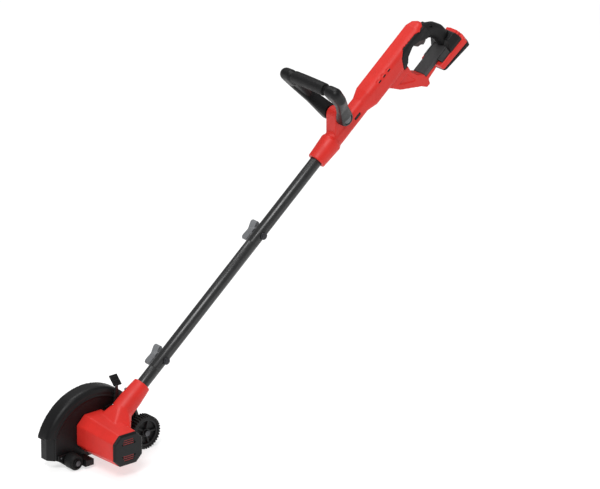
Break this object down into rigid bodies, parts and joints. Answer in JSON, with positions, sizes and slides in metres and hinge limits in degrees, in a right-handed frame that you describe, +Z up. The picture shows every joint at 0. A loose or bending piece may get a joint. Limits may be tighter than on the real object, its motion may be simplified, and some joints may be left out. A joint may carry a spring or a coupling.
{
  "type": "lawn edger",
  "caption": "Battery lawn edger: vertical steel blade under a half guard, geared motor head, depth lever with wheel, jointed shaft, tilting bail handle, D grip with trigger, slide-on battery.",
  "frame": {"origin": "middle of the footprint box, on the ground under the wheels", "axes": "X runs from the blade end to the handle end, Y points to the blade side of the head, Z up; stored in its working stance"},
  "size_m": [1.041, 0.1822, 0.752],
  "materials": {
    "red_shell": "satin moulded, bright red",
    "black_plastic": "fine-grained moulded",
    "soft_rubber": "matt, slightly textured",
    "shaft_paint": "dark grey satin powder coat",
    "steel": "machined",
    "bolt_black": "black zinc",
    "blade_steel": "ground and slightly worn",
    "cast_metal": "cast, dark coated",
    "grey_plastic": "fine-grained moulded",
    "copper_winding": "enamelled wire and laminations",
    "circuit_green": "coated circuit board",
    "contact_block": "plated contacts in a moulding",
    "cell_wrap": "shrink wrap"
  },
  "bodies": {
    "frame": {"motor_housing_near": "red_shell", "motor_housing_far": "red_shell", "motor_end_cap": "black_plastic", "stator": "copper_winding", "motor_bearings": "steel", "bearing_plate": "steel", "gear_case": "cast_metal", "spindle_bearings": "steel", "blade_guard": "black_plastic", "guard_front_plate": "black_plastic", "guard_screws": "steel", "depth_quadrant": "black_plastic", "depth_pivot_bolt": "steel", "roller_bracket": "black_plastic", "roller_axle": "bolt_black", "housing_screws": "steel", "lower_tube": "shaft_paint", "middle_tube": "shaft_paint", "upper_tube": "shaft_paint", "joint_bolts": "bolt_black", "power_cable": "soft_rubber", "handle_shell_near": "red_shell", "handle_shell_far": "red_shell", "grip_near": "soft_rubber", "grip_far": "soft_rubber", "lower_strut": "black_plastic", "trigger_switch": "black_plastic", "control_board": "circuit_green", "handle_screws": "steel", "bail_pivot_bolt": "steel", "battery_foot": "black_plastic", "terminal_block": "contact_block", "trigger_spring": "steel", "bail_lock_spring": "steel"},
    "motor_rotor": {"rotor": "steel", "pinion": "steel", "cooling_fan": "black_plastic"},
    "blade_spindle": {"spindle": "steel", "spindle_gear": "steel", "inner_flange": "steel", "blade": "blade_steel", "outer_flange": "steel", "blade_nut": "steel"},
    "depth_arm": {"depth_lever": "shaft_paint", "lever_paddle": "black_plastic", "wheel_axle": "bolt_black"},
    "rear_wheel": {"wheel_hub": "black_plastic", "wheel_tyre": "soft_rubber"},
    "front_roller": {"guide_roller": "soft_rubber"},
    "knob_lower": {"lower_knob": "grey_plastic"},
    "knob_upper": {"upper_knob": "grey_plastic"},
    "bail": {"bail_frame": "black_plastic", "bail_grip": "soft_rubber"},
    "bail_button": {"bail_lock_button": "grey_plastic"},
    "trigger_body": {"trigger": "black_plastic"},
    "lock_button": {"lock_off_button": "black_plastic"},
    "battery_pack": {"pack_upper_shell": "red_shell", "pack_lower_shell": "black_plastic", "battery_cells": "cell_wrap"},
    "battery_latch": {"pack_latch": "red_shell"}
  },
  "joints": [
    {"name": "spindle_spin", "type": "hinge", "parent": "frame", "child": "blade_spindle", "pos_m": [-0.4101, 0.052, 0.0435], "axis": [0, 1, 0], "continuous": true},
    {"name": "motor_spin", "type": "hinge", "parent": "frame", "child": "motor_rotor", "pos_m": [-0.4101, -0.04, 0.0585], "axis": [0, 1, 0], "continuous": true},
    {"name": "depth_lever_hinge", "type": "hinge", "parent": "frame", "child": "depth_arm", "pos_m": [-0.3601, 0.0265, 0.0525], "axis": [0, 1, 0], "range_deg": [0, 28]},
    {"name": "rear_wheel_spin", "type": "hinge", "parent": "depth_arm", "child": "rear_wheel", "pos_m": [-0.2981, 0.011, 0.035], "axis": [0, 1, 0], "continuous": true},
    {"name": "front_roller_spin", "type": "hinge", "parent": "frame", "child": "front_roller", "pos_m": [-0.4711, 0.014, 0.016], "axis": [0, 1, 0], "continuous": true},
    {"name": "lower_knob_turn", "type": "hinge", "parent": "frame", "child": "knob_lower", "pos_m": [-0.25754, 0.024, 0.18471], "axis": [0, 1, 0], "range_deg": [0, 270]},
    {"name": "upper_knob_turn", "type": "hinge", "parent": "frame", "child": "knob_upper", "pos_m": [-0.00866, 0.024, 0.3906], "axis": [0, 1, 0], "range_deg": [0, 270]},
    {"name": "bail_tilt", "type": "hinge", "parent": "frame", "child": "bail", "pos_m": [0.19221, 0, 0.5996], "axis": [0, 1, 0], "range_deg": [-35, 25]},
    {"name": "bail_button_press", "type": "slide", "parent": "bail", "child": "bail_button", "axis": [0, 1, 0], "range_m": [0, 0.0025], "stiffness_N_per_m": 800, "springref_m": -0.002},
    {"name": "trigger_pull", "type": "hinge", "parent": "frame", "child": "trigger_body", "pos_m": [0.3847, 0, 0.71991], "axis": [0, 1, 0], "range_deg": [-9, 0], "stiffness_Nm_per_rad": 0.6, "springref_deg": 14.32},
    {"name": "lock_off_slide", "type": "slide", "parent": "frame", "child": "lock_button", "axis": [0, -1, 0], "range_m": [0, 0.003], "stiffness_N_per_m": 600, "springref_m": -0.002},
    {"name": "battery_slide", "type": "slide", "parent": "frame", "child": "battery_pack", "axis": [0.7705, 0, 0.6374], "range_m": [0, 0.08]},
    {"name": "battery_latch_press", "type": "slide", "parent": "battery_pack", "child": "battery_latch", "axis": [0.6374, 0, -0.7705], "range_m": [0, 0.002], "stiffness_N_per_m": 1000, "springref_m": -0.001}
  ],
  "couplings": [
    {"joint": "motor_spin", "follows": "spindle_spin", "ratio": -2}
  ]
}
